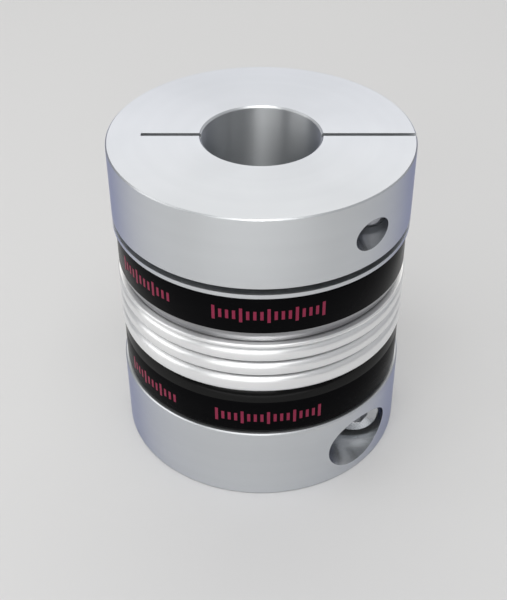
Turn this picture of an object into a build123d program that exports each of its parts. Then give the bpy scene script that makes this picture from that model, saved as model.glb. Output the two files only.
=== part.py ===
"""Metal bellows coupling: two slit clamp hubs joined by a stainless bellows, with a black ring at each end.

The origin is the middle of the bottom face and +Z runs up the shaft axis. Both hubs are alike: the upper one
is the lower one turned half a turn about X. Its clamp screw goes in from the back, the lower one's from the
front.
"""

from build123d import *
import math
import os

# Hub, along the axis from its outer face inwards
hub_diameter = 49.0
bore_diameter = 19.0
clamp_length = 12.1
cut_width = 1.1
rim_length = 0.9
core_length = 4.8
spigot_length = 2.8
slit_width = 0.9
slit_reach = 19.0
bore_chamfer = 0.3
edge_chamfer = 0.2

# Clamp ring over the base of each hub
ring_step = 0.45
ring_wall = 3.5
ring_band_length = 6.7
ring_edge_round = 0.7
ring_lip_length = 2.2
ring_lip_inset = 0.75
ring_flange_round = 0.7

# Bellows: one wide crest on the lower ring, even crests above it and a thin one under the upper ring
low_crest_width = 3.0
even_crest_count = 2
crest_pitch = 2.85
crest_corner = 0.8
groove_width = 0.4
top_crest_width = 0.7
top_crest_corner = 0.18
neck_fold = 0.7
crest_step = 0.2
convolution_depth = 7.0
bellows_wall = 0.2

# Clamp screw, M5 x 20 with a hexagon socket
screw_diameter = 5.0
screw_length = 20.0
head_diameter = 8.5
head_height = 5.0
head_chamfer = 0.4
socket_width = 4.0
socket_depth = 2.5
point_chamfer = 0.8
screw_offset = 16.5
screw_depth = 6.75
seat_distance = 7.0

# Clearances
fit_clearance = 0.05
seat_clearance = 0.1
lip_clearance = 0.1
thread_clearance = 0.05
shank_clearance = 0.25
head_clearance = 0.75

# Worked out from the sizes above
hub_radius = hub_diameter / 2
bore_radius = bore_diameter / 2
ring_radius = hub_radius - ring_step
core_radius = ring_radius - ring_wall
cut_end = clamp_length + cut_width
ring_start = cut_end + rim_length
band_end = ring_start + ring_band_length
ring_end = band_end + ring_lip_length
core_end = ring_start + core_length
hub_length = core_end + spigot_length
crest_radius = hub_radius - crest_step - bellows_wall / 2
root_radius = crest_radius - convolution_depth
neck_radius = root_radius + bellows_wall / 2
spigot_radius = root_radius - bellows_wall / 2 - fit_clearance
crest_width = crest_pitch - groove_width
groove_fold = (groove_width + bellows_wall) / 2
low_crest = ring_end + lip_clearance + low_crest_width / 2
first_groove = low_crest + (low_crest_width + groove_width) / 2
last_groove = first_groove + even_crest_count * crest_pitch
top_crest = last_groove + (groove_width + top_crest_width) / 2
overall_length = top_crest + top_crest_width / 2 + lip_clearance + ring_end


def turned(points):
    """A solid of revolution about Z from (radius, height) points."""
    outline = Polyline(*[(radius, 0, height) for radius, height in points], close=True)
    return revolve(make_face(outline), Axis.Z)


def cross_hole(diameter, start, end):
    """A drill along Y on the clamp screw's axis, between two distances from the slit."""
    middle = (screw_offset, (start + end) / 2, screw_depth)
    return Pos(*middle) * Rot(90, 0, 0) * Cylinder(diameter / 2, end - start)


def box_between(low, high):
    """A box given by two opposite corners."""
    size = [b - a for a, b in zip(low, high)]
    return Pos(*low) * Box(*size, align=(Align.MIN, Align.MIN, Align.MIN))


def hub_blank():
    """The turned hub: clamp section and rim, core under the ring, and spigot under the bellows neck."""
    return turned(
        [
            (bore_radius + bore_chamfer, 0),
            (hub_radius - edge_chamfer, 0),
            (hub_radius, edge_chamfer),
            (hub_radius, ring_start - edge_chamfer),
            (hub_radius - edge_chamfer, ring_start),
            (core_radius, ring_start),
            (core_radius, core_end),
            (spigot_radius, core_end),
            (spigot_radius, hub_length),
            (bore_radius, hub_length),
            (bore_radius, bore_chamfer),
        ]
    )


def hub():
    """A clamp hub, outer face down. The slit leaves a web at -X, and the cut frees the tapped jaw at +Y."""
    slit = box_between((-slit_reach, -slit_width / 2, 0), (hub_radius, slit_width / 2, cut_end))
    cut = box_between((-hub_radius, -slit_width / 2, clamp_length), (hub_radius, hub_radius, cut_end))
    counterbore = cross_hole(head_diameter + 2 * head_clearance, -hub_radius, -seat_distance)
    shank_hole = cross_hole(screw_diameter + 2 * shank_clearance, -seat_distance, 0)
    tapped_hole = cross_hole(screw_diameter + 2 * thread_clearance, 0, hub_radius)
    return hub_blank() - slit - cut - counterbore - shank_hole - tapped_hole


def clamp_ring():
    """The black ring: it sits on the hub's core, closes over the bellows neck and tapers in at its lip."""
    sleeve_radius = core_radius + fit_clearance
    flange_radius = neck_radius + fit_clearance
    flange_start = core_end + seat_clearance
    ring = turned(
        [
            (sleeve_radius, ring_start),
            (ring_radius, ring_start),
            (ring_radius, band_end),
            (ring_radius - ring_lip_inset, ring_end),
            (flange_radius, ring_end),
            (flange_radius, flange_start),
            (sleeve_radius, flange_start),
        ]
    )
    hub_side_edge = ring.edges().group_by(Axis.Z)[0].sort_by(SortBy.RADIUS)[-1]
    ring = fillet(hub_side_edge, ring_edge_round)
    flange_edge = ring.edges().group_by(Axis.Z)[-1].sort_by(SortBy.RADIUS)[0]
    return fillet(flange_edge, ring_flange_round)


def clamp_screw():
    """A socket head cap screw along Y, its head at -Y seated in the counterbore."""
    head = turned(
        [
            (0, -head_height),
            (head_diameter / 2 - head_chamfer, -head_height),
            (head_diameter / 2, -head_height + head_chamfer),
            (head_diameter / 2, 0),
            (screw_diameter / 2, 0),
            (screw_diameter / 2, screw_length - point_chamfer),
            (screw_diameter / 2 - point_chamfer, screw_length),
            (0, screw_length),
        ]
    )
    corner_radius = socket_width / math.sqrt(3)
    socket = extrude(RegularPolygon(corner_radius, 6), socket_depth)
    screw = head - Pos(0, 0, -head_height) * socket
    return Pos(screw_offset, -seat_distance, screw_depth) * Rot(-90, 0, 0) * screw


def corner(start, end, tangent):
    """A quarter turn of the bellows wall between two (radius, height) points."""
    return TangentArc((start[0], 0, start[1]), (end[0], 0, end[1]), tangent=(tangent[0], 0, tangent[1]))


def run(start, end):
    """A straight run of the bellows wall between two (radius, height) points."""
    return Line((start[0], 0, start[1]), (end[0], 0, end[1]))


def crest(height, width, corner_radius, skin, start_radius, end_radius):
    """One crest of a wall face, bottom to top: out along its lower wall, over its crown and back in."""
    reach = crest_radius + skin
    turn = corner_radius + skin
    below = height - (width - bellows_wall) / 2 - skin
    above = height + (width - bellows_wall) / 2 + skin
    return [
        run((start_radius, below), (reach - turn, below)),
        corner((reach - turn, below), (reach, below + turn), (1, 0)),
        run((reach, below + turn), (reach, above - turn)),
        corner((reach, above - turn), (reach - turn, above), (0, 1)),
        run((reach - turn, above), (end_radius, above)),
    ]


def groove(height, skin):
    """One groove of a wall face, bottom to top: a half circle round the root between two crests."""
    turn = groove_fold - skin
    middle = root_radius + groove_fold
    deepest = (middle - turn, 0, height)
    return ThreePointArc((middle, 0, height - turn), deepest, (middle, 0, height + turn))


def bellows_side(skin):
    """The edges of one face of the bellows wall, bottom to top, at a distance outside its middle line."""
    neck = root_radius + skin
    root = root_radius + groove_fold
    bend = neck_fold - skin
    bend_end = root_radius + neck_fold
    low = low_crest - (low_crest_width - bellows_wall) / 2 - skin
    high = top_crest + (top_crest_width - bellows_wall) / 2 + skin
    edges = [
        run((neck, core_end), (neck, low - bend)),
        corner((neck, low - bend), (bend_end, low), (0, 1)),
        *crest(low_crest, low_crest_width, crest_corner, skin, bend_end, root),
    ]
    for index in range(even_crest_count):
        height = first_groove + index * crest_pitch
        edges.append(groove(height, skin))
        edges += crest(height + crest_pitch / 2, crest_width, crest_corner, skin, root, root)
    edges.append(groove(last_groove, skin))
    edges += crest(top_crest, top_crest_width, top_crest_corner, skin, root, bend_end)
    edges.append(corner((bend_end, high), (neck, high + bend), (-1, 0)))
    edges.append(run((neck, high + bend), (neck, overall_length - core_end)))
    return edges


def bellows():
    """The thin-walled bellows: a neck on each spigot, three broad crests, and a thin one at the top."""
    outside = bellows_side(bellows_wall / 2)
    inside = bellows_side(-bellows_wall / 2)
    feet = Line(outside[0] @ 0, inside[0] @ 0)
    heads = Line(outside[-1] @ 1, inside[-1] @ 1)
    wall = make_face([*outside, heads, *inside, feet])
    return revolve(wall, Axis.Z)


def upper(piece):
    """The same piece at the upper hub."""
    return Pos(0, 0, overall_length) * Rot(180, 0, 0) * piece


def main():
    lower_pieces = {"hub": hub(), "ring": clamp_ring(), "clamp_screw": clamp_screw()}
    nodes = {"bellows": bellows()}
    for name, piece in lower_pieces.items():
        nodes["lower_" + name] = piece
        nodes["upper_" + name] = upper(piece)
    os.makedirs("parts", exist_ok=True)
    for name, piece in nodes.items():
        export_step(piece, f"parts/{name}.step")


main()
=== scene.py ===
import math

import bpy
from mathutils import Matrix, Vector


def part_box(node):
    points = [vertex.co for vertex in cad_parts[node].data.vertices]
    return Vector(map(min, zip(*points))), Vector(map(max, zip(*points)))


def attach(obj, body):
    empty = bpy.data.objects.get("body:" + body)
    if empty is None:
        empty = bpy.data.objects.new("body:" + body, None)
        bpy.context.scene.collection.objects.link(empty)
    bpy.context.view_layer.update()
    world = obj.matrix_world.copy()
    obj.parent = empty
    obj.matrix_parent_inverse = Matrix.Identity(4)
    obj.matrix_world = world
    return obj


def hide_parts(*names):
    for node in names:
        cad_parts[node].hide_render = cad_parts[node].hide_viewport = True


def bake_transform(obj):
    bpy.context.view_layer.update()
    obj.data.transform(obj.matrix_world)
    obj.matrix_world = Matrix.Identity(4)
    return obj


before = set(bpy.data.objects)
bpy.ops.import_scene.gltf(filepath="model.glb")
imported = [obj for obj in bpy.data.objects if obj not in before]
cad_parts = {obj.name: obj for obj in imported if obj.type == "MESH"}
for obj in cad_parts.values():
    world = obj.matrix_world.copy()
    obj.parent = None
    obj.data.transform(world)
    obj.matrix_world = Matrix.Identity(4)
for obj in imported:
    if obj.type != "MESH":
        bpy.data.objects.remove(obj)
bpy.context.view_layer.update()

# Bellows coupling, standing with its shaft axis upright.
# Sizes are in metres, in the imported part's own frame. Angles are in degrees.
MM = 0.001

RING_LOW, RING_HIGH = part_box("lower_ring")
RING_RADIUS = RING_HIGH.x
RING_LENGTH = RING_HIGH.z - RING_LOW.z
LOWER_RING_START = RING_LOW.z
UPPER_RING_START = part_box("upper_ring")[1].z
BELLOWS_LOW, BELLOWS_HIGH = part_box("bellows")
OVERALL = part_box("upper_hub")[1].z


# ---------------------------------------------------------------- mesh tools

TURNS = 192
MERGE_DISTANCE = 0.002 * MM
EDGE_SEGMENTS = 2
EDGE_ANGLE = 25
SHADING_ANGLE = 40


def clear_selection():
    """Nothing is selected, so that the next operator acts only on what is added."""
    if bpy.context.object and bpy.context.object.mode != "OBJECT":
        bpy.ops.object.mode_set(mode="OBJECT")
    bpy.ops.object.select_all(action="DESELECT")


def select_only(piece):
    """The piece alone is selected and active."""
    clear_selection()
    piece.select_set(True)
    bpy.context.view_layer.objects.active = piece


def name_piece(piece, name):
    """The object and its mesh take the same name."""
    piece.name = name
    piece.data.name = name


def apply_modifiers(piece):
    """Every modifier of the piece becomes part of its mesh."""
    select_only(piece)
    for modifier in list(piece.modifiers):
        bpy.ops.object.modifier_apply(modifier=modifier.name)


def place_in_mesh(piece):
    """The piece's place goes into its mesh, and its object sits at the origin."""
    select_only(piece)
    bpy.ops.object.transform_apply(location=True, rotation=True, scale=True)


def lathe(name, profile):
    """A turned piece from (radius, height) points.

    A circle is extruded and resized from each point to the next, and back to the first.
    """
    clear_selection()
    radius, height = profile[0]
    bpy.ops.mesh.primitive_circle_add(vertices=TURNS, radius=radius, location=(0, 0, height))
    piece = bpy.context.object
    name_piece(piece, name)
    place_in_mesh(piece)
    bpy.ops.object.mode_set(mode="EDIT")
    bpy.ops.mesh.select_mode(type="VERT")
    bpy.ops.mesh.select_all(action="SELECT")
    for next_radius, next_height in profile[1:] + profile[:1]:
        rise = (0, 0, next_height - height)
        bpy.ops.mesh.extrude_edges_move(TRANSFORM_OT_translate={"value": rise})
        grow = next_radius / radius
        bpy.ops.transform.resize(value=(grow, grow, 1), center_override=(0, 0, 0))
        radius, height = next_radius, next_height
    bpy.ops.mesh.select_all(action="SELECT")
    bpy.ops.mesh.remove_doubles(threshold=MERGE_DISTANCE)
    bpy.ops.mesh.normals_make_consistent(inside=False)
    bpy.ops.object.mode_set(mode="OBJECT")
    return piece


def round_edges(piece, width):
    """Breaks the sharp edges of a piece."""
    bevel = piece.modifiers.new("edge_break", "BEVEL")
    bevel.width = width
    bevel.segments = EDGE_SEGMENTS
    bevel.limit_method = "ANGLE"
    bevel.angle_limit = math.radians(EDGE_ANGLE)
    bevel.use_clamp_overlap = True
    apply_modifiers(piece)


def smooth(piece, angle=SHADING_ANGLE):
    """Smooth shading, with edges sharper than the angle kept."""
    select_only(piece)
    bpy.ops.object.shade_smooth_by_angle(angle=math.radians(angle))


def arc(centre_radius, centre_height, radius, start, end, steps):
    """Points of an arc in the turned profile, its angles counted from the outward direction."""
    points = []
    for index in range(steps + 1):
        turn = math.radians(start + (end - start) * index / steps)
        outward = radius * math.cos(turn)
        upward = radius * math.sin(turn)
        points.append((centre_radius + outward, centre_height + upward))
    return points


# ---------------------------------------------------------------- material tools

NODE_COLUMNS = 8
NODE_SPACING = (200, -220)


class Nodes:
    """Short calls for building a node tree."""

    def __init__(self, tree):
        self.tree = tree
        self.count = 0

    def set(self, socket, value):
        if isinstance(value, bpy.types.NodeSocket):
            self.tree.links.new(value, socket)
        else:
            socket.default_value = value

    def add(self, kind, values=None, **settings):
        node = self.tree.nodes.new(kind)
        row, column = divmod(self.count, NODE_COLUMNS)
        node.location = (NODE_SPACING[0] * column, NODE_SPACING[1] * row)
        self.count += 1
        for name, value in settings.items():
            setattr(node, name, value)
        for socket, value in (values or {}).items():
            self.set(node.inputs[socket], value)
        return node

    def math(self, operation, first, second=0.0, clamp=False):
        values = {0: first, 1: second}
        return self.add("ShaderNodeMath", values, operation=operation, use_clamp=clamp).outputs[0]

    def length(self, first, second):
        """The distance that two sides at a right angle span."""
        across = self.math("MULTIPLY", first, first)
        along = self.math("MULTIPLY", second, second)
        return self.math("SQRT", self.math("ADD", across, along))

    def map(self, value, low, high, to_low, to_high):
        values = {
            "Value": value,
            "From Min": low,
            "From Max": high,
            "To Min": to_low,
            "To Max": to_high,
        }
        return self.add("ShaderNodeMapRange", values).outputs["Result"]

    def mix(self, factor, first, second):
        node = self.add("ShaderNodeMix", data_type="RGBA")
        for index, value in ((0, factor), (6, first), (7, second)):
            self.set(node.inputs[index], value)
        return node.outputs[2]

    def place(self):
        """Object coordinates."""
        return self.add("ShaderNodeTexCoord").outputs["Object"]

    def parts(self, vector):
        """The X, Y and Z of a vector."""
        return self.add("ShaderNodeSeparateXYZ", {0: vector}).outputs


def group(name, inputs, outputs):
    """A shader node group with named sockets: inputs are (name, default), outputs (name, kind)."""
    tree = bpy.data.node_groups.new(name, "ShaderNodeTree")
    for socket_name, default in inputs:
        socket = tree.interface.new_socket(
            socket_name, in_out="INPUT", socket_type="NodeSocketFloat"
        )
        socket.default_value = default
    for socket_name, kind in outputs:
        tree.interface.new_socket(socket_name, in_out="OUTPUT", socket_type=kind)
    nodes = Nodes(tree)
    given = nodes.add("NodeGroupInput").outputs
    out = nodes.add("NodeGroupOutput").inputs
    return tree, nodes, given, out


MARK_PITCH = 6000.0
MARK_UNEVENNESS = 0.5
BROAD_TONE_STRETCH = (0.04, 0.6, 0.6)


def turning_marks_group():
    """Fine marks round Z, as a lathe leaves them: a height and a broad tone, both from 0 to 1."""
    tree, n, given, out = group(
        "turning_marks",
        [("Pitch per metre", MARK_PITCH), ("Unevenness", MARK_UNEVENNESS)],
        [("Height", "NodeSocketFloat"), ("Tone", "NodeSocketFloat")],
    )
    x, y, z = n.parts(n.place())
    pitch = given["Pitch per metre"]
    unevenness = given["Unevenness"]
    turn = n.math("ARCTAN2", y, x)
    ring = n.math("MULTIPLY", n.length(x, y), pitch)
    rise = n.math("MULTIPLY", z, pitch)
    bend = n.math("MULTIPLY", n.math("SINE", turn), unevenness)
    sway = n.math("MULTIPLY", n.math("COSINE", turn), unevenness)
    spread = n.add("ShaderNodeCombineXYZ", {0: n.math("ADD", ring, rise), 1: bend, 2: sway})
    fine = n.add(
        "ShaderNodeTexNoise",
        {"Vector": spread.outputs[0], "Scale": 1.0, "Detail": 3.0, "Roughness": 0.6},
    )
    slow = n.add(
        "ShaderNodeVectorMath",
        {0: spread.outputs[0], 1: BROAD_TONE_STRETCH},
        operation="MULTIPLY",
    )
    broad = n.add(
        "ShaderNodeTexNoise",
        {"Vector": slow.outputs[0], "Scale": 1.0, "Detail": 2.0, "Roughness": 0.5},
    )
    n.set(out["Height"], fine.outputs[0])
    n.set(out["Tone"], broad.outputs[0])
    return tree


SMUDGE_SIZE = 90.0
SMUDGE_FROM, SMUDGE_TO = 0.35, 0.7
SPECK_SIZE = 2500.0


def handling_group():
    """Faint smudges and specks: a smudge mask and a speck height, both from 0 to 1."""
    tree, n, given, out = group(
        "handling",
        [("Smudge size", SMUDGE_SIZE), ("Speck size", SPECK_SIZE)],
        [("Smudge", "NodeSocketFloat"), ("Speck", "NodeSocketFloat")],
    )
    place = n.place()
    cloud = n.add(
        "ShaderNodeTexNoise",
        {
            "Vector": place,
            "Scale": given["Smudge size"],
            "Detail": 4.0,
            "Roughness": 0.55,
            "Distortion": 0.4,
        },
    )
    dots = n.add(
        "ShaderNodeTexNoise", {"Vector": place, "Scale": given["Speck size"], "Detail": 2.0}
    )
    n.set(out["Smudge"], n.map(cloud.outputs[0], SMUDGE_FROM, SMUDGE_TO, 0.0, 1.0))
    n.set(out["Speck"], dots.outputs[0])
    return tree


EDGE_REACH = 0.12 * MM
EDGE_GAIN = 6.0
EDGE_SAMPLES = 4


def edge_wear_and_shade_group():
    """Edges for wear and painted shade: the rounded normal and a mask that is 1 on an edge."""
    tree, n, given, out = group(
        "edge_wear_and_shade",
        [("Reach", EDGE_REACH), ("Gain", EDGE_GAIN)],
        [("Normal", "NodeSocketVector"), ("Edge", "NodeSocketFloat")],
    )
    rounded = n.add("ShaderNodeBevel", {"Radius": given["Reach"]}, samples=EDGE_SAMPLES).outputs[0]
    flat = n.add("ShaderNodeNewGeometry").outputs["Normal"]
    agree = n.add("ShaderNodeVectorMath", {0: rounded, 1: flat}, operation="DOT_PRODUCT")
    apart = n.math("SUBTRACT", 1.0, agree.outputs["Value"])
    n.set(out["Normal"], rounded)
    n.set(out["Edge"], n.math("MULTIPLY", apart, given["Gain"], clamp=True))
    return tree


SCREW_OFFSET = 16.5 * MM
SCREW_DEPTH = 6.75 * MM
COUNTERBORE_REACH = 5.04 * MM
TAPPED_REACH = 2.6 * MM
BORE_REACH = 9.55 * MM
BORE_FADE = 9.65 * MM
MIDDLE = OVERALL / 2


def machined_holes_group():
    """Where a hub was drilled or bored: masks for its screw hole, shaft bore and tapped side."""
    tree, n, _, out = group(
        "machined_holes",
        [],
        [
            ("Screw hole", "NodeSocketFloat"),
            ("Shaft bore", "NodeSocketFloat"),
            ("Tapped side", "NodeSocketFloat"),
        ],
    )
    x, y, z = n.parts(n.place())
    from_middle = n.math("SUBTRACT", z, MIDDLE)
    aside = n.math("SUBTRACT", x, SCREW_OFFSET)
    above = n.math("SUBTRACT", n.math("ABSOLUTE", from_middle), MIDDLE - SCREW_DEPTH)
    half = n.math("SIGN", from_middle)
    head_side = n.math("GREATER_THAN", n.math("MULTIPLY", half, y), 0.0)
    reach = n.map(head_side, 0.0, 1.0, TAPPED_REACH, COUNTERBORE_REACH)
    n.set(out["Screw hole"], n.math("LESS_THAN", n.length(aside, above), reach))
    n.set(out["Shaft bore"], n.map(n.length(x, y), BORE_REACH, BORE_FADE, 1.0, 0.0))
    n.set(out["Tapped side"], n.math("SUBTRACT", 1.0, head_side))
    return tree


TURNING = turning_marks_group()
HANDLING = handling_group()
EDGES = edge_wear_and_shade_group()
HOLES = machined_holes_group()

SMUDGE_DULLING = 0.25
SMUDGE_ROUGHENING = 0.5
GRAIN_FROM, GRAIN_TO = 0.3, 1.2
DRILLED_DULLING = 0.3
DRILLED_POLISH = 0.13
DRILLED_METAL_LOSS = 0.12
BORED_ROUGHENING = 0.06
BORED_GRAIN = 0.96
THREAD_ROUGHENING = 0.2
BUMP_HEIGHT = 0.02 * MM
ACROSS_THE_MARKS = 0.25
WHITE = (1, 1, 1, 1)


def metal(
    name,
    bright,
    dull,
    roughness,
    roughness_spread,
    pitch=MARK_PITCH,
    bump_strength=0.2,
    metallic=1.0,
    specular=0.5,
    edge_colour=None,
    edge_reach=EDGE_REACH,
    speck=0.1,
    grain_spread=0.0,
    edge_tint=WHITE,
    holes=False,
    tapped_side_shade=None,
):
    """A turned finish: two tones, uneven roughness, lathe marks, faint smudges and an edge colour,
    which is wear on the black, lip and screw finishes and painted shade on the aluminium.

    With holes, the screw hole is smoother and duller, and the bore has a stronger grain.
    """
    made = bpy.data.materials.new(name)
    made.use_nodes = True
    made.node_tree.nodes.clear()
    n = Nodes(made.node_tree)
    marks = n.add("ShaderNodeGroup", node_tree=TURNING)
    marks.inputs["Pitch per metre"].default_value = pitch
    touch = n.add("ShaderNodeGroup", node_tree=HANDLING)
    edge_wear_shade = n.add("ShaderNodeGroup", node_tree=EDGES)
    edge_wear_shade.inputs["Reach"].default_value = edge_reach
    smudge = touch.outputs["Smudge"]
    tone = n.mix(marks.outputs["Tone"], dull, bright)
    tone = n.mix(n.math("MULTIPLY", smudge, SMUDGE_DULLING), tone, dull)
    # An edge colour darker than the tone is painted shade that dims the edge highlight; a lighter
    # one is wear.
    if edge_colour:
        tone = n.mix(edge_wear_shade.outputs["Edge"], tone, edge_colour)
    grain = n.math("ADD", marks.outputs["Height"], n.math("MULTIPLY", smudge, SMUDGE_ROUGHENING))
    smoothest = roughness - roughness_spread
    roughest = roughness + roughness_spread
    rough = n.map(grain, GRAIN_FROM, GRAIN_TO, smoothest, roughest)
    specks = n.math("MULTIPLY", touch.outputs["Speck"], speck)
    height = n.math("ADD", marks.outputs["Height"], specks)
    grain_strength = grain_spread
    if holes:
        machined = n.add("ShaderNodeGroup", node_tree=HOLES)
        drilled = machined.outputs["Screw hole"]
        bored = machined.outputs["Shaft bore"]
        tone = n.mix(n.math("MULTIPLY", drilled, DRILLED_DULLING), tone, dull)
        rough = n.math("SUBTRACT", rough, n.math("MULTIPLY", drilled, DRILLED_POLISH))
        rough = n.math("ADD", rough, n.math("MULTIPLY", bored, BORED_ROUGHENING))
        loss = n.math("MULTIPLY", drilled, DRILLED_METAL_LOSS)
        metallic = n.math("SUBTRACT", metallic, loss)
        height = n.math("MULTIPLY", height, n.math("ADD", 1.0, bored))
        grain_strength = n.map(bored, 0.0, 1.0, grain_spread, BORED_GRAIN)
    # Painted shade: the screw's tapped side, down in the hole, is darkened with this colour.
    if tapped_side_shade:
        tapped = n.add("ShaderNodeGroup", node_tree=HOLES).outputs["Tapped side"]
        tone = n.mix(tapped, tone, tapped_side_shade)
        rough = n.math("ADD", rough, n.math("MULTIPLY", tapped, THREAD_ROUGHENING))
    relief = n.add(
        "ShaderNodeBump",
        {
            "Height": height,
            "Distance": BUMP_HEIGHT,
            "Strength": bump_strength,
            "Normal": edge_wear_shade.outputs["Normal"],
        },
    )
    shader = n.add(
        "ShaderNodeBsdfPrincipled",
        {
            "Base Color": tone,
            "Roughness": rough,
            "Metallic": metallic,
            "Normal": relief.outputs[0],
            "Specular IOR Level": specular,
            "Specular Tint": edge_tint,
        },
    )
    if grain_spread:
        around = n.add("ShaderNodeTangent", direction_type="RADIAL", axis="Z")
        n.set(shader.inputs["Anisotropic"], grain_strength)
        shader.inputs["Anisotropic Rotation"].default_value = ACROSS_THE_MARKS
        n.set(shader.inputs["Tangent"], around.outputs[0])
    out = n.add("ShaderNodeOutputMaterial")
    n.set(out.inputs["Surface"], shader.outputs[0])
    return made


ALUMINIUM = metal(
    "satin_aluminium",
    bright=(0.69, 0.71, 0.725, 1),
    dull=(0.64, 0.66, 0.675, 1),
    roughness=0.36,
    roughness_spread=0.04,
    pitch=9000,
    # Painted shade: the darker edge colour dims the highlight along the aluminium's edges.
    edge_colour=(0.35, 0.355, 0.36, 1),
    edge_reach=0.05 * MM,
    grain_spread=0.55,
    # Painted reflection: the bluish edge tint gives the hub's sides a blue cast at grazing angles.
    edge_tint=(0.4, 0.43, 0.68, 1),
    holes=True,
)
BLACK = metal(
    "black_anodised",
    bright=(0.004, 0.004, 0.0045, 1),
    dull=(0.002, 0.002, 0.0025, 1),
    roughness=0.24,
    roughness_spread=0.05,
    metallic=0.0,
    specular=0.02,
    bump_strength=0.1,
    edge_colour=(0.02, 0.02, 0.022, 1),
)
LIP = metal(
    "black_polished",
    bright=(0.003, 0.003, 0.003, 1),
    dull=(0.002, 0.002, 0.002, 1),
    roughness=0.15,
    roughness_spread=0.03,
    metallic=0.0,
    specular=0.2,
    bump_strength=0.05,
    edge_colour=(0.03, 0.03, 0.03, 1),
)
# Painted reflection: the upper ring's lip is given bright metal, unlike the same lip on the lower
# ring, so that it shows the light reflected from the crests.
LIT_UPPER_LIP = metal(
    "upper_lip_painted_reflection",
    bright=(0.36, 0.36, 0.37, 1),
    dull=(0.32, 0.32, 0.33, 1),
    roughness=0.24,
    roughness_spread=0.04,
    bump_strength=0.05,
)
STAINLESS = metal(
    "bright_stainless",
    bright=(0.95, 0.955, 0.96, 1),
    dull=(0.9, 0.905, 0.91, 1),
    roughness=0.36,
    roughness_spread=0.04,
    pitch=5000,
    bump_strength=0.05,
    grain_spread=0.7,
)
SCREW_STEEL = metal(
    "zinc_plated_steel",
    bright=(0.66, 0.67, 0.68, 1),
    dull=(0.5, 0.51, 0.53, 1),
    roughness=0.24,
    roughness_spread=0.06,
    pitch=4000,
    bump_strength=0.1,
    edge_colour=(0.8, 0.81, 0.82, 1),
    # Painted shade: darker colour for the screw's shank down in the tapped hole.
    tapped_side_shade=(0.4, 0.4, 0.41, 1),
)
INK = metal(
    "crimson_ink",
    bright=(0.27, 0.012, 0.055, 1),
    dull=(0.22, 0.01, 0.045, 1),
    roughness=0.45,
    roughness_spread=0.08,
    metallic=0.0,
    specular=0.3,
    bump_strength=0.1,
    speck=0.6,
)


# ---------------------------------------------------------------- rings

BAND_LENGTH = 6.7 * MM
EDGE_ROUND = 0.7 * MM
LIP_INSET = 0.75 * MM
SLEEVE_RADIUS = 20.6 * MM
FLANGE_RADIUS = 17.35 * MM
FLANGE_START = 4.9 * MM
FLANGE_FOLD = 0.7 * MM
RING_BREAK = 0.1 * MM
EDGE_ROUND_STEPS = 8
FLANGE_FOLD_STEPS = 6
LIP_SLOT = 1


def clamp_ring(name):
    """The lower hub's ring: band, tapered lip, and the flange that closes over the bellows neck."""
    start = LOWER_RING_START
    end = start + RING_LENGTH
    band_end = start + BAND_LENGTH
    profile = [(SLEEVE_RADIUS, start)]
    profile += arc(
        RING_RADIUS - EDGE_ROUND, start + EDGE_ROUND, EDGE_ROUND, -90, 0, EDGE_ROUND_STEPS
    )
    profile += [(RING_RADIUS, band_end), (RING_RADIUS - LIP_INSET, end)]
    profile += arc(
        FLANGE_RADIUS + FLANGE_FOLD, end - FLANGE_FOLD, FLANGE_FOLD, 90, 180, FLANGE_FOLD_STEPS
    )
    profile += [(FLANGE_RADIUS, start + FLANGE_START), (SLEEVE_RADIUS, start + FLANGE_START)]
    ring = lathe(name, profile)
    ring.data.materials.append(BLACK)
    ring.data.materials.append(LIP)
    for face in ring.data.polygons:
        radius = math.hypot(face.center.x, face.center.y)
        if radius > RING_RADIUS - LIP_INSET - RING_BREAK and face.center.z > band_end:
            face.material_index = LIP_SLOT
    round_edges(ring, RING_BREAK)
    smooth(ring)
    return ring


def turned_over(piece, name):
    """A copy with its own mesh, turned half a turn about X to the other end of the coupling."""
    select_only(piece)
    bpy.ops.object.duplicate(linked=False)
    copy = bpy.context.object
    name_piece(copy, name)
    bpy.ops.transform.rotate(value=math.pi, orient_axis="X", center_override=(0, 0, MIDDLE))
    place_in_mesh(copy)
    return copy


lower_ring = clamp_ring("lower_clamp_ring")
upper_ring = turned_over(lower_ring, "upper_clamp_ring")
# The upper lip's bright metal is painted reflection; the lower ring keeps the black lip.
upper_ring.material_slots[LIP_SLOT].material = LIT_UPPER_LIP
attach(lower_ring, "lower_half")
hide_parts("lower_ring")
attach(upper_ring, "upper_half")
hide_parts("upper_ring")


# ---------------------------------------------------------------- bellows

LOW_WIDTH = 3.0 * MM
EVEN_CRESTS = 2
PITCH = 2.85 * MM
GROOVE = 0.4 * MM
CREST_CORNER = 0.8 * MM
TOP_WIDTH = 0.7 * MM
TOP_CORNER = 0.18 * MM
NECK_FOLD = 0.7 * MM
WALL = 0.2 * MM
DEPTH = 7.0 * MM
LIP_GAP = 0.1 * MM
CREST_RADIUS = BELLOWS_HIGH.x - WALL / 2
ROOT_RADIUS = CREST_RADIUS - DEPTH
ROOT_FOLD = (GROOVE + WALL) / 2
CONVOLUTIONS_START = LOWER_RING_START + RING_LENGTH + LIP_GAP
CONVOLUTIONS_END = UPPER_RING_START - RING_LENGTH - LIP_GAP
LOW_CREST = CONVOLUTIONS_START + LOW_WIDTH / 2
TOP_CREST = CONVOLUTIONS_END - TOP_WIDTH / 2
FIRST_GROOVE = CONVOLUTIONS_START + LOW_WIDTH + GROOVE / 2
LAST_GROOVE = FIRST_GROOVE + EVEN_CRESTS * PITCH
CORNER_STEPS = 8
BELLOWS_SHADING_ANGLE = 50


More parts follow.
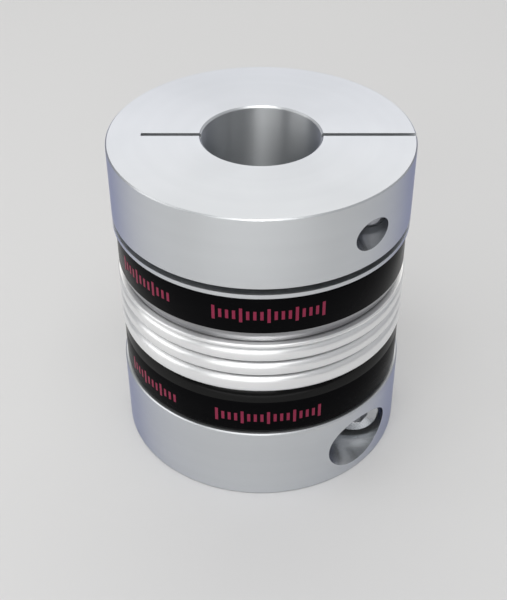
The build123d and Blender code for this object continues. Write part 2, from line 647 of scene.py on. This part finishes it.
def crest(height, width, corner, skin):
    """The crown of one crest, bottom to top, on a wall face a distance outside the middle line."""
    turn = corner + skin
    half = (width - WALL) / 2 + skin
    centre = CREST_RADIUS + skin - turn
    points = arc(centre, height - half + turn, turn, -90, 0, CORNER_STEPS)
    points += arc(centre, height + half - turn, turn, 0, 90, CORNER_STEPS)
    return points


def groove(height, skin):
    """The root of one groove, bottom to top."""
    return arc(ROOT_RADIUS + ROOT_FOLD, height, ROOT_FOLD - skin, 270, 90, CORNER_STEPS)


def bellows_profile(skin):
    """One face of the wall from the lower neck to the upper, a distance outside its middle line."""
    bend = NECK_FOLD - skin
    low = CONVOLUTIONS_START + WALL / 2 - skin
    high = CONVOLUTIONS_END - WALL / 2 + skin
    points = [(ROOT_RADIUS + skin, BELLOWS_LOW.z)]
    points += arc(ROOT_RADIUS + NECK_FOLD, low - bend, bend, 180, 90, CORNER_STEPS)
    points += crest(LOW_CREST, LOW_WIDTH, CREST_CORNER, skin)
    for index in range(EVEN_CRESTS):
        below = FIRST_GROOVE + index * PITCH
        points += groove(below, skin)
        points += crest(below + PITCH / 2, PITCH - GROOVE, CREST_CORNER, skin)
    points += groove(LAST_GROOVE, skin)
    points += crest(TOP_CREST, TOP_WIDTH, TOP_CORNER, skin)
    points += arc(ROOT_RADIUS + NECK_FOLD, high + bend, bend, 270, 180, CORNER_STEPS)
    points.append((ROOT_RADIUS + skin, BELLOWS_HIGH.z))
    return points


outside = bellows_profile(WALL / 2)
inside = bellows_profile(-WALL / 2)
bellows_skin = lathe("bellows_skin", outside + inside[::-1])
bellows_skin.data.materials.append(STAINLESS)
smooth(bellows_skin, BELLOWS_SHADING_ANGLE)
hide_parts("bellows")
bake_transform(bellows_skin)


# ---------------------------------------------------------------- hubs and screws

for node in ("lower_hub", "upper_hub"):
    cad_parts[node].material_slots[0].material = ALUMINIUM
for node in ("lower_clamp_screw", "upper_clamp_screw"):
    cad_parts[node].material_slots[0].material = SCREW_STEEL


# ---------------------------------------------------------------- print on the rings

INK_THICKNESS = 0.03 * MM
INK_MERGE_DISTANCE = 0.001 * MM
TALL_MARK = 2.6 * MM
SHORT_MARK = 0.62 * TALL_MARK
TALL_EVERY = 4
MARK_SWEEP = 1.2
MARK_SPACING = 2.55
MARK_STEPS = 6
FRONT_ROW = (-17.0, 17)
LEFT_ROW = (-64.0, 12)


def mark(azimuth, height, middle):
    """One curved upright mark on the band, its azimuth counted from the front towards +X."""
    clear_selection()
    radius = RING_RADIUS + INK_THICKNESS
    turn = math.radians(azimuth - 90)
    foot = (radius * math.cos(turn), radius * math.sin(turn), middle - height / 2)
    bpy.ops.mesh.primitive_plane_add(size=1, location=(0, 0, 0))
    piece = bpy.context.object
    bpy.ops.object.mode_set(mode="EDIT")
    bpy.ops.mesh.select_all(action="SELECT")
    bpy.ops.mesh.merge(type="CENTER")
    bpy.ops.transform.translate(value=foot)
    bpy.ops.mesh.extrude_region_move(TRANSFORM_OT_translate={"value": (0, 0, height)})
    bpy.ops.mesh.select_all(action="SELECT")
    bpy.ops.mesh.spin(
        steps=MARK_STEPS, angle=math.radians(MARK_SWEEP), center=(0, 0, 0), axis=(0, 0, 1)
    )
    bpy.ops.mesh.select_all(action="SELECT")
    bpy.ops.mesh.remove_doubles(threshold=INK_MERGE_DISTANCE)
    bpy.ops.mesh.normals_make_consistent(inside=False)
    bpy.ops.object.mode_set(mode="OBJECT")
    return piece


def ring_print(name, middle):
    """Two rows of plain graduated marks where the ring carries its print."""
    marks = []
    for start, count in (FRONT_ROW, LEFT_ROW):
        for index in range(count):
            height = SHORT_MARK if index % TALL_EVERY else TALL_MARK
            marks.append(mark(start + index * MARK_SPACING, height, middle))
    select_only(marks[0])
    for piece in marks:
        piece.select_set(True)
    bpy.ops.object.join()
    joined = bpy.context.object
    name_piece(joined, name)
    joined.data.materials.append(INK)
    thick = joined.modifiers.new("ink", "SOLIDIFY")
    thick.thickness = 2 * INK_THICKNESS
    thick.offset = -1
    apply_modifiers(joined)
    place_in_mesh(joined)
    smooth(joined)
    return joined


lower_print = ring_print("lower_ring_print", LOWER_RING_START + BAND_LENGTH / 2)
upper_print = ring_print("upper_ring_print", UPPER_RING_START - BAND_LENGTH / 2)
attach(lower_print, "lower_half")
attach(upper_print, "upper_half")


# ---------------------------------------------------------------- floor, light and camera

FLOOR_SIZE = (1.2, 1.0)
FLOOR_SHIFT = (0, 0.3, 0)
FLOOR_TONE = 0.68
FLOOR_SHADE = 0.98
FLOOR_ROUGHNESS = 0.6
FLOOR_GLOSS = 0.2
FLOOR_CLOUD = 8.0


def floor_material():
    """A plain pale floor with a faint cloud in its tone."""
    made = bpy.data.materials.new("studio_floor")
    made.use_nodes = True
    made.node_tree.nodes.clear()
    n = Nodes(made.node_tree)
    cloud = n.add("ShaderNodeTexNoise", {"Vector": n.place(), "Scale": FLOOR_CLOUD, "Detail": 3.0})
    pale = (FLOOR_TONE, FLOOR_TONE, FLOOR_TONE, 1)
    shade = (FLOOR_TONE * FLOOR_SHADE, FLOOR_TONE * FLOOR_SHADE, FLOOR_TONE * FLOOR_SHADE, 1)
    tone = n.mix(cloud.outputs[0], shade, pale)
    shader = n.add("ShaderNodeBsdfPrincipled", {"Base Color": tone, "Roughness": FLOOR_ROUGHNESS})
    shader.inputs["Specular IOR Level"].default_value = FLOOR_GLOSS
    out = n.add("ShaderNodeOutputMaterial")
    n.set(out.inputs["Surface"], shader.outputs[0])
    return made


clear_selection()
bpy.ops.mesh.primitive_plane_add(size=1.0, location=(0, 0, 0))
floor = bpy.context.object
floor.name = "studio_floor"
bpy.ops.object.mode_set(mode="EDIT")
bpy.ops.mesh.select_all(action="SELECT")
bpy.ops.transform.resize(value=(*FLOOR_SIZE, 1), center_override=(0, 0, 0))
bpy.ops.transform.translate(value=FLOOR_SHIFT)
bpy.ops.object.mode_set(mode="OBJECT")
clear_selection()
floor.data.materials.append(floor_material())

HORIZON = (0.12, 0.123, 0.13, 1)
OVERHEAD = (0.5, 0.503, 0.515, 1)
SKY_FROM, SKY_TO = -0.05, 0.35

world = bpy.data.worlds.new("studio")
bpy.context.scene.world = world
world.use_nodes = True
world.node_tree.nodes.clear()
w = Nodes(world.node_tree)
direction = w.add("ShaderNodeTexCoord").outputs["Generated"]
upward = w.map(w.parts(direction)["Z"], SKY_FROM, SKY_TO, 0.0, 1.0)
sky = w.mix(upward, HORIZON, OVERHEAD)
background = w.add("ShaderNodeBackground", {"Color": sky, "Strength": 1.0})
world_out = w.add("ShaderNodeOutputWorld")
w.set(world_out.inputs[0], background.outputs[0])


def soft_box(name, place, aim, size, radiance, colour):
    """A rectangular area lamp, turned towards a point, with a given brightness of its face."""
    data = bpy.data.lights.new(name, "AREA")
    data.shape = "RECTANGLE"
    data.size, data.size_y = size
    data.energy = radiance * math.pi * size[0] * size[1]
    data.color = colour
    lamp = bpy.data.objects.new(name, data)
    bpy.context.scene.collection.objects.link(lamp)
    lamp.location = place
    lamp.rotation_euler = (Vector(aim) - Vector(place)).to_track_quat("-Z", "Y").to_euler()
    lamp.visible_camera = False


SOFT_WHITE = (1.0, 0.99, 0.97)
PAPER_WHITE = (1.0, 0.99, 0.98)
WARM_WHITE = (1.0, 0.975, 0.91)
LOW_AIM = (0, 0, 0.03)
TOP_AIM = (0, 0, 0.05)

soft_box(
    "key", place=(0, -0.14, 0.58), aim=LOW_AIM, size=(0.36, 0.28), radiance=2.8, colour=SOFT_WHITE
)
soft_box(
    "front", place=(-0.12, -0.5, 0.24), aim=LOW_AIM, size=(0.5, 0.36), radiance=1.3,
    colour=SOFT_WHITE,
)
soft_box(
    "left", place=(-0.5, -0.12, 0.24), aim=LOW_AIM, size=(0.4, 0.36), radiance=1.3,
    colour=SOFT_WHITE,
)
soft_box(
    "back", place=(0, 0.52, 0.42), aim=TOP_AIM, size=(0.9, 0.5), radiance=0.86, colour=WARM_WHITE
)
soft_box(
    "card", place=(-0.03, -0.245, 0.003), aim=(-0.03, -0.245, 1), size=(0.4, 0.13), radiance=1.8,
    colour=PAPER_WHITE,
)
soft_box(
    "strip", place=(0, -0.22, 0.55), aim=TOP_AIM, size=(0.024, 0.12), radiance=27.0,
    colour=PAPER_WHITE,
)

CAMERA_PLACE = (0, -0.14794, 0.13727)
CAMERA_TILT = 52.3
CAMERA_SHIFT = (-0.013, 0.0008)

camera_data = bpy.data.cameras.new("camera")
camera_data.sensor_width = 36
camera_data.lens = 63.51
camera_data.shift_x, camera_data.shift_y = CAMERA_SHIFT
camera_data.clip_start = 0.001
camera_data.clip_end = 10
camera = bpy.data.objects.new("camera", camera_data)
bpy.context.scene.collection.objects.link(camera)
camera.location = CAMERA_PLACE
camera.rotation_euler = (math.radians(CAMERA_TILT), 0, 0)
bpy.context.scene.camera = camera

bpy.context.scene.view_settings.view_transform = "Standard"
